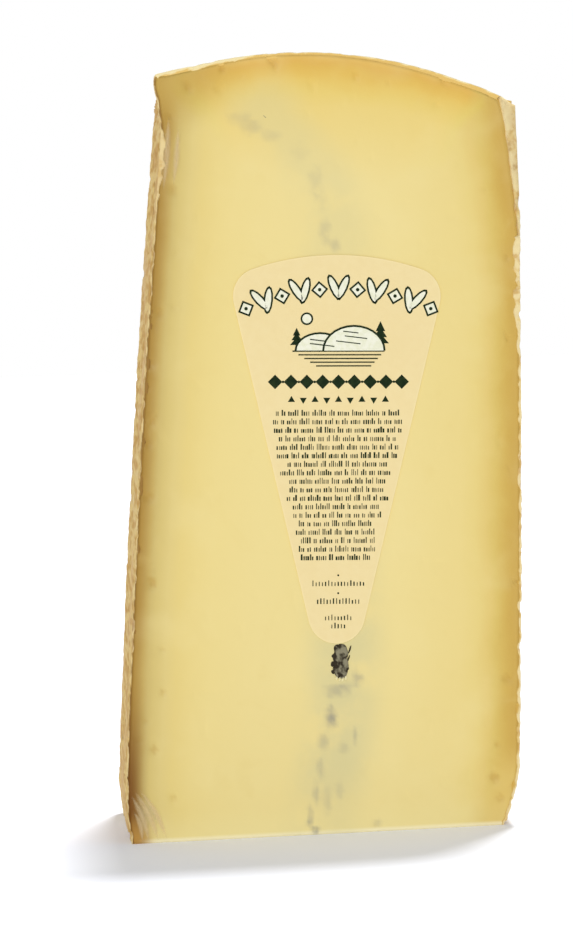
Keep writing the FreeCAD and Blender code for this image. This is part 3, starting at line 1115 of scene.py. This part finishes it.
def make_label():
    bm = merged("paper_label")
    bmesh.ops.dissolve_limit(bm, angle_limit=math.radians(1), verts=bm.verts, edges=bm.edges)
    for vert in bm.verts:
        vert.co.y = PAPER_FRONT if vert.co.y < FRONT - 0.1 * MM else FRONT + 0.1 * MM
    front = max((f for f in bm.faces if f.normal.y < -0.9), key=lambda f: f.calc_area())
    edges = list(front.edges)
    bmesh.ops.bevel(bm, geom=edges, offset=PAPER_BEVEL, affect="EDGES", segments=2, profile=0.5, material=-1)
    # This layer marks the band along the edge that the material paints paler, as a painted highlight.
    edge_layer = bm.verts.layers.float.new("paper_edge_highlight")
    front = max((f for f in bm.faces if f.normal.y < -0.9), key=lambda f: f.calc_area())
    for vert in bm.verts:
        vert[edge_layer] = 1.0
    bmesh.ops.inset_region(bm, faces=[front], thickness=PAPER_HIGHLIGHT_BAND, use_even_offset=True)
    for vert in front.verts:
        vert[edge_layer] = 0.0
    return bm


def paper_material():
    material, tree, shader = new_material("label_paper")
    fibres = patches(tree, 700, 0.35, 0.65, 5.0)
    colour = blend(tree, times(tree, fibres, 0.35), tint(240, 220, 164), tint(236, 214, 154))
    tone = times(tree, patches(tree, 35, 0.4, 0.7), 0.4)
    colour = blend(tree, tone, colour, tint(236, 214, 156))
    # Painted highlight: the band along the label's edge is blended towards a paler paper colour.
    edge = times(tree, remap(tree, attribute(tree, "paper_edge_highlight"), 0.3, 1.0), 0.6)
    colour = blend(tree, edge, colour, tint(246, 228, 172))
    set_finish(tree, shader, colour, 0.55, 0.3, bump(tree, grain(tree, 1800, 0.0), 0.06, 0.1 * MM))
    return material


finish_piece(make_label(), "label", paper_material(), ["paper_label"], smooth=False)

# %% [markdown]
# ## The print
# Ink has no real thickness, but shapes of paper-thin relief keep the print sharp at any distance and
# need no image. The design is a plain country one: a garland of lozenges and leaves along the label's
# crown, a small landscape under it, two ornamental bands, and rows of short ticks where a label would
# have its small print. It says nothing in any language.
#
# All of it is laid out in the label's own frame: across and up from its tip, along its tilt.

# %% The label's own frame
LABEL_TILT = math.radians(2.24)
HALF_ANGLE = math.radians(13.3)
CROWN_RADIUS = 51 * MM
INK = 0.018 * MM
TIP_ROUNDING = 5.6 * MM


def label_tip():
    """The lowest point of the label's outline."""
    low = [v.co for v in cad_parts["paper_label"].data.vertices if v.co.z < LABEL_LOW.z + 0.01 * MM]
    return Vector((sum(co.x for co in low) / len(low), PAPER_FRONT, LABEL_LOW.z))


LABEL_FRAME = Matrix.Translation(label_tip()) @ Matrix.Rotation(LABEL_TILT, 4, "Y")
LABEL_LENGTH = (LABEL_HIGH.z - LABEL_LOW.z) / math.cos(LABEL_TILT) - 0.06 * MM
CROWN_CENTRE = LABEL_LENGTH - CROWN_RADIUS


def half_width(up):
    """Half the label's width at this height above its tip."""
    return TIP_ROUNDING / math.cos(HALF_ANGLE) + (up - TIP_ROUNDING) * math.tan(HALF_ANGLE)


def stamp(bm, corners, across, up, half_across, half_up, turn=0.0, layer=1, domed=False):
    """One flat inked shape with this many corners, standing off the paper by its layer of ink."""
    lay_up = Matrix.Rotation(math.pi / 2, 4, "X")
    made = bmesh.ops.create_circle(bm, cap_ends=True, segments=corners, radius=1)["verts"]
    if corners == 4:
        bmesh.ops.rotate(bm, verts=made, cent=(0, 0, 0), matrix=Matrix.Rotation(math.pi / 4, 3, "Z"))
        bmesh.ops.scale(bm, verts=made, vec=(math.sqrt(2), math.sqrt(2), 1))
    if domed:
        face = made[0].link_faces[0]
        whole = [face, *face.edges, *face.verts]
        cut = {"plane_co": (0, 0, 0), "plane_no": (0, 1, 0), "clear_inner": True}
        kept = bmesh.ops.bisect_plane(bm, geom=whole, **cut)["geom"]
        made = list({item for item in kept if isinstance(item, bmesh.types.BMVert)})
    shape = Matrix.Translation((across, 0, up)) @ Matrix.Rotation(turn, 4, "Y")
    size = Matrix.Diagonal((half_across, 1, half_up, 1))
    bmesh.ops.transform(bm, matrix=LABEL_FRAME @ shape @ size @ lay_up, verts=made)
    faces = list({face for vert in made for face in vert.link_faces})
    raised = bmesh.ops.extrude_face_region(bm, geom=faces)["geom"]
    lifted = [item for item in raised if isinstance(item, bmesh.types.BMVert)]
    bmesh.ops.translate(bm, verts=lifted, vec=(0, -INK * layer, 0))


print("the label is", LABEL_LENGTH, "m long")

# %% [markdown]
# The motifs come next. A rhombus is a four-sided circle left standing on its corner, which here is a
# square turned back by an eighth; a leaf is a slim twelve-sided one. The pale filling is one layer of
# ink more than its dark outline, so it always lies on top.

# %% The garland
RHOMB = math.pi / 4
GARLAND_BELOW = 6.6 * MM


def garland(dark, pale):
    """Lozenges and leaves by turns along an arc below the crown."""
    count = 11
    radius = CROWN_RADIUS - GARLAND_BELOW
    for index in range(count):
        angle = math.radians(24.0) * (2 * index / (count - 1) - 1)
        across = radius * math.sin(angle)
        up = CROWN_CENTRE + radius * math.cos(angle)
        if index % 2:
            for lean in (-0.42, 0.42):
                at_x = across + 0.85 * MM * math.copysign(1, lean)
                stamp(dark, 12, at_x, up + 0.3 * MM, 0.95 * MM, 2.75 * MM, angle + lean)
                stamp(pale, 12, at_x, up + 0.3 * MM, 0.58 * MM, 2.25 * MM, angle + lean, 2)
        else:
            stamp(dark, 4, across, up, 1.2 * MM, 1.2 * MM, angle + RHOMB)
            stamp(pale, 4, across, up, 0.84 * MM, 0.84 * MM, angle + RHOMB, 2)
            stamp(dark, 8, across, up, 0.36 * MM, 0.36 * MM, angle, 3)


print("the garland follows an arc of radius", CROWN_RADIUS - GARLAND_BELOW, "m")

# %% [markdown]
# The landscape has two hills, each a domed shape with its pale filling, lines of grass on them, a round
# sun, firs, and the furrows of a field that narrow towards the viewer. The shapes that lie over others
# are given a higher layer of ink, so that no two faces lie in one plane.

# %% Landscape and bands
HILLS = [(-3.6, 5.0, 3.6, 1), (3.0, 6.2, 5.0, 3)]
GRASS = [(2.4, 3.6, 1.5), (3.4, 2.6, 2.2), (-4.0, 2.0, 1.6), (1.9, 1.6, 2.4), (-3.2, 1.1, 2.4)]
FIRS = [(8.2, 5.4), (6.4, 3.6), (-8.2, 4.2)]


def fir(dark, across, up, size):
    """A fir tree: three stacked triangles on a stem."""
    stamp(dark, 4, across, up + 0.12 * size, 0.05 * size, 0.16 * size)
    for tier in range(3):
        width = (0.36 - 0.08 * tier) * size
        stamp(dark, 3, across, up + (0.38 + 0.22 * tier) * size, width, 0.24 * size)


def landscape(dark, pale):
    """Low hills under a round sun, with firs, and ploughed fields before them."""
    ground = LABEL_LENGTH - 18.6 * MM
    for across, width, height, layer in HILLS:
        stamp(dark, 28, across * MM, ground, width * MM, height * MM, 0.0, layer, True)
        stamp(pale, 28, across * MM, ground, (width - 0.4) * MM, (height - 0.4) * MM, 0.0, layer + 1, True)
    for across, up, half in GRASS:
        stamp(dark, 4, across * MM, ground + up * MM, half * MM, 0.1 * MM, 0.12, 5)
    stamp(dark, 16, -6.2 * MM, ground + 6.2 * MM, 1.25 * MM, 1.25 * MM)
    stamp(pale, 16, -6.2 * MM, ground + 6.2 * MM, 0.9 * MM, 0.9 * MM, 0.0, 2)
    for line in range(5):
        width = (9.0 - 0.9 * line) * MM
        stamp(dark, 4, 0.25 * MM * line, ground - (0.1 + 0.72 * line) * MM, width, 0.12 * MM, 0.0, 3)
    for across, size in FIRS:
        fir(dark, across * MM, ground, size * MM)


def bands(dark):
    """Two ornamental rows: lozenges with dots, then small chevrons."""
    for up, pitch, half, corners in ((51.2, 3.1, 12.4, 4), (47.7, 2.3, 9.2, 3)):
        count = int(2 * half / pitch)
        for index in range(count + 1):
            across = (index - count / 2) * pitch * MM
            size = (1.0 if corners == 4 else 0.8) * MM
            turn = RHOMB if corners == 4 else math.pi * (index % 2)
            stamp(dark, corners, across, up * MM, size, size, turn)
            if corners == 4 and index < count:
                stamp(dark, 8, across + pitch / 2 * MM, up * MM, 0.26 * MM, 0.26 * MM)


print(len(HILLS), "hills and", len(FIRS), "firs")

# %% [markdown]
# The small print is rows of upright ticks in groups, with now and then a taller one. The rows are as
# wide as the label allows at their height, a little uneven, and set from the middle outwards.

# %% Small print
ROW_PITCH = 1.66 * MM
SMALL_ROWS = 18
FIRST_ROW = 45.0 * MM
BASELINE = 0.4 * MM
TICK_PITCH = 0.62


def small_print(dark):
    for row in range(SMALL_ROWS):
        up = FIRST_ROW - row * ROW_PITCH
        half = half_width(up) * random.uniform(0.76, 0.92)
        heavy = 1.3 if row in (2, 5, 10, 17) else 1.0
        across = -half
        while across < half - 0.6 * MM:
            group = random.randint(2, 7)
            for _ in range(group):
                tall = random.choice((0.36, 0.4, 0.42, 0.58)) * MM
                wide = random.choice((0.07, 0.1, 0.14)) * MM * heavy
                if across + wide > half:
                    break
                stamp(dark, 4, across, up + tall - BASELINE, wide, tall)
                across += wide + random.uniform(0.26, 0.34) * MM
            across += 0.42 * MM
    for up in (13.4, 9.9):
        stamp(dark, 8, 0, up * MM, 0.2 * MM, 0.2 * MM)
    for up, half in ((11.7, 5.4), (8.2, 4.6), (5.0, 3.0), (3.4, 1.7)):
        count = int(2 * half / TICK_PITCH)
        for index in range(count):
            across = (index + 0.5 - count / 2) * TICK_PITCH * MM
            tall = random.choice((0.36, 0.42, 0.55)) * MM
            stamp(dark, 4, across, up * MM + tall - BASELINE, random.choice((0.09, 0.13)) * MM, tall)


print(SMALL_ROWS, "rows of ticks, the lowest", FIRST_ROW - (SMALL_ROWS - 1) * ROW_PITCH, "m above the tip")

# %% [markdown]
# Dark and pale ink are two pieces, since a printer would lay them down one after the other. Both are
# flat colours, the dark one a green that is nearly black.

# %% Print and ink


def make_print():
    dark, pale = bmesh.new(), bmesh.new()
    garland(dark, pale)
    landscape(dark, pale)
    bands(dark)
    small_print(dark)
    for bm in (dark, pale):
        bmesh.ops.recalc_face_normals(bm, faces=bm.faces)
    return dark, pale


def ink_material(name, first, second):
    material, tree, shader = new_material(name)
    colour = blend(tree, patches(tree, 1200, 0.4, 0.65), first, second)
    set_finish(tree, shader, colour, 0.6, 0.1)
    return material


dark_print, pale_print = make_print()
green = ink_material("dark_green_ink", tint(16, 34, 12), tint(30, 46, 20))
finish_piece(dark_print, "label_print", green, smooth=False)
ivory = ink_material("ivory_ink", tint(242, 242, 222), tint(234, 235, 208))
finish_piece(pale_print, "label_print_filling", ivory, smooth=False)

# %% [markdown]
# ## The film's pleats
# The slab is wrapped in clear film, pulled so tight that it can only be seen where it is gathered, at
# the lower and the upper left corner. A whole film would be an invisible sheet that only slows the
# light down. The gathers are what the eye finds, so only they are made: soft folds that fan out from
# the corner and thin away to nothing at their edges. Each is listed by its two ends, across and up on
# the cut, and its half width, in millimetres. Solidify closes each fold with a second skin. It goes
# by the normals of the flat grid, from before the points moved, so this skin lies a hair higher up
# the cut and not behind the first.

# %% Film pleats
FOLDS = [
    ((-39.7, 9.4), (-36.7, 0.5), 0.9), ((-39.0, 10.2), (-34.9, 0.6), 1.1),
    ((-38.0, 10.4), (-33.2, 0.8), 0.9), ((-39.4, 6.4), (-38.0, 0.4), 0.7),
    ((-27.2, 141.0), (-28.8, 127.0), 0.9), ((-25.4, 139.0), (-26.8, 128.0), 0.8),
]
FOLD_HEIGHT = 0.07 * MM
SECOND_SKIN = 0.03 * MM


def add_fold(bm, edge_layer, start, end, half):
    """A soft bowed ridge from start to end on the front cut, tapered at both ends."""
    start, end = (Vector((x * MM, FRONT, z * MM)) for x, z in (start, end))
    made = bmesh.ops.create_grid(bm, x_segments=16, y_segments=8, size=0.5)["verts"]
    along = (end - start).normalized()
    aside = along.cross(Vector((0, 1, 0)))
    for vert in made:
        share, side = vert.co.x + 0.5, vert.co.y * 2
        taper = math.sin(math.pi * clamped(share, 0.02, 0.98)) ** 0.6
        bow = 0.5 * MM * math.sin(math.pi * share) * (1 if start.z < 0.02 else 0.3)
        point = start.lerp(end, share) + aside * (side * half * MM * taper + bow)
        point.y -= FOLD_HEIGHT * taper * (1 - side * side) - 0.02 * MM
        vert.co = point
        vert[edge_layer] = (1 - abs(side)) * taper
    faces = list({face for vert in made for face in vert.link_faces})
    bmesh.ops.solidify(bm, geom=faces, thickness=SECOND_SKIN)


def make_pleats():
    bm = bmesh.new()
    edge_layer = bm.verts.layers.float.new("fold")
    for start, end, half in FOLDS:
        add_fold(bm, edge_layer, start, end, half)
    bmesh.ops.recalc_face_normals(bm, faces=bm.faces)
    return bm


def film_material():
    material, tree, shader = new_material("clear_film")
    middle = remap(tree, attribute(tree, "fold"), 0.0, 1.0, 0.0, 0.32)
    set_finish(tree, shader, tint(240, 218, 168), 0.5, 0.5)
    tree.links.new(middle, shader.inputs["Alpha"])
    return material


finish_piece(make_pleats(), "film_pleats", film_material())

# %% [markdown]
# ## Floor, light and camera
# The floor is white and endless. Light Path tells two kinds of rays apart. The camera's see it white,
# dimmed by the slab's shadow; its faint blue takes back the yellow that the cheese throws on it.
# Rays that only gather light find an even glow instead, so the slab's foot stays as bright as its top.

# %% Floor
FLOOR_HALF = 3.0


def seen_directly(tree):
    """1 for the rays that the camera sees by, also in a mirror or through glass, and 0 for the rest."""
    path = put(tree, "ShaderNodeLightPath").outputs
    direct = maths(tree, "MAXIMUM", path["Is Camera Ray"], path["Is Glossy Ray"])
    return maths(tree, "MAXIMUM", direct, path["Is Transmission Ray"])


def matt_and_glow(tree, colour, strength):
    """A matt surface that also gives off a little white light."""
    matt = put(tree, "ShaderNodeBsdfDiffuse", {"Color": (*colour, 1)}).outputs[0]
    glow = put(tree, "ShaderNodeEmission", {"Color": (1, 1, 1, 1), "Strength": strength}).outputs[0]
    return put(tree, "ShaderNodeAddShader", {0: matt, 1: glow}).outputs[0]


def floor_material():
    material, tree, shader = new_material("white_floor")
    tree.nodes.remove(shader)
    even = matt_and_glow(tree, (0.35, 0.35, 0.35), 0.55)
    white = matt_and_glow(tree, (0.86, 0.885, 0.965), 0.076)
    mixed = put(tree, "ShaderNodeMixShader", {0: seen_directly(tree), 1: even, 2: white}).outputs[0]
    tree.links.new(mixed, tree.nodes["Material Output"].inputs["Surface"])
    return material


def make_floor():
    bm = bmesh.new()
    bmesh.ops.create_grid(bm, x_segments=1, y_segments=1, size=FLOOR_HALF)
    mesh = bpy.data.meshes.new("floor")
    bm.to_mesh(mesh)
    bm.free()
    mesh.materials.append(floor_material())
    made = bpy.data.objects.new("floor", mesh)
    bpy.context.scene.collection.objects.link(made)


make_floor()
print("floor", 2 * FLOOR_HALF, "m wide")

# %% [markdown]
# Suns light the whole floor alike, so no horizon shows, however far it runs. A high one behind the slab
# throws the soft shadow to the front and left. A wide, low one in front lights the cut. The sky gives
# the rest, and shows pure white to the camera.

# %% Light
WORLD_LIGHT = 0.5


def make_world():
    world = bpy.data.worlds.new("studio")
    world.use_nodes = True
    tree = world.node_tree
    background = tree.nodes["Background"]
    level = maths(tree, "ADD", WORLD_LIGHT, times(tree, seen_directly(tree), 1 - WORLD_LIGHT))
    tree.links.new(level, background.inputs["Strength"])
    background.inputs["Color"].default_value = (1, 1, 1, 1)
    bpy.context.scene.world = world


def add_sun(name, way, spread, power):
    """A sun whose light travels this way, with soft edges to its shadows."""
    data = bpy.data.lights.new(name, "SUN")
    data.angle = math.radians(spread)
    data.energy = power
    lamp = bpy.data.objects.new(name, data)
    lamp.rotation_euler = Vector(way).to_track_quat("-Z", "Y").to_euler()
    bpy.context.scene.collection.objects.link(lamp)


make_world()
add_sun("front_sun", (0.25, 1.0, -0.36), 30, 0.91)
add_sun("shadow_sun", (-0.25, -0.43, -1.53), 8.0, 2.43)

# %% [markdown]
# The camera stands far back with a long lens, a little left of the slab's middle and a little above
# it, and is rolled by a little over two degrees. Its place is worked out from where it looks and from
# its angles.

# %% Camera
LENS = 141.9
CAMERA_DISTANCE = 719.6 * MM
AZIMUTH = math.radians(4.97)
ELEVATION = math.radians(3.30)
ROLL = math.radians(-2.2)
AIM = Vector((-6.96 * MM, FRONT, 0.4719 * TOP))


def make_camera():
    data = bpy.data.cameras.new("camera")
    data.lens = LENS
    camera = bpy.data.objects.new("camera", data)
    level = math.cos(ELEVATION)
    way = Vector((math.sin(AZIMUTH) * level, math.cos(AZIMUTH) * level, -math.sin(ELEVATION)))
    camera.location = AIM - way * CAMERA_DISTANCE
    facing = way.to_track_quat("-Z", "Y").to_matrix().to_4x4()
    camera.rotation_euler = (facing @ Matrix.Rotation(ROLL, 4, "Z")).to_euler()
    bpy.context.scene.collection.objects.link(camera)
    bpy.context.scene.camera = camera
    bpy.context.scene.view_settings.view_transform = "Standard"
    return camera


camera = make_camera()
print("camera at", camera.location)
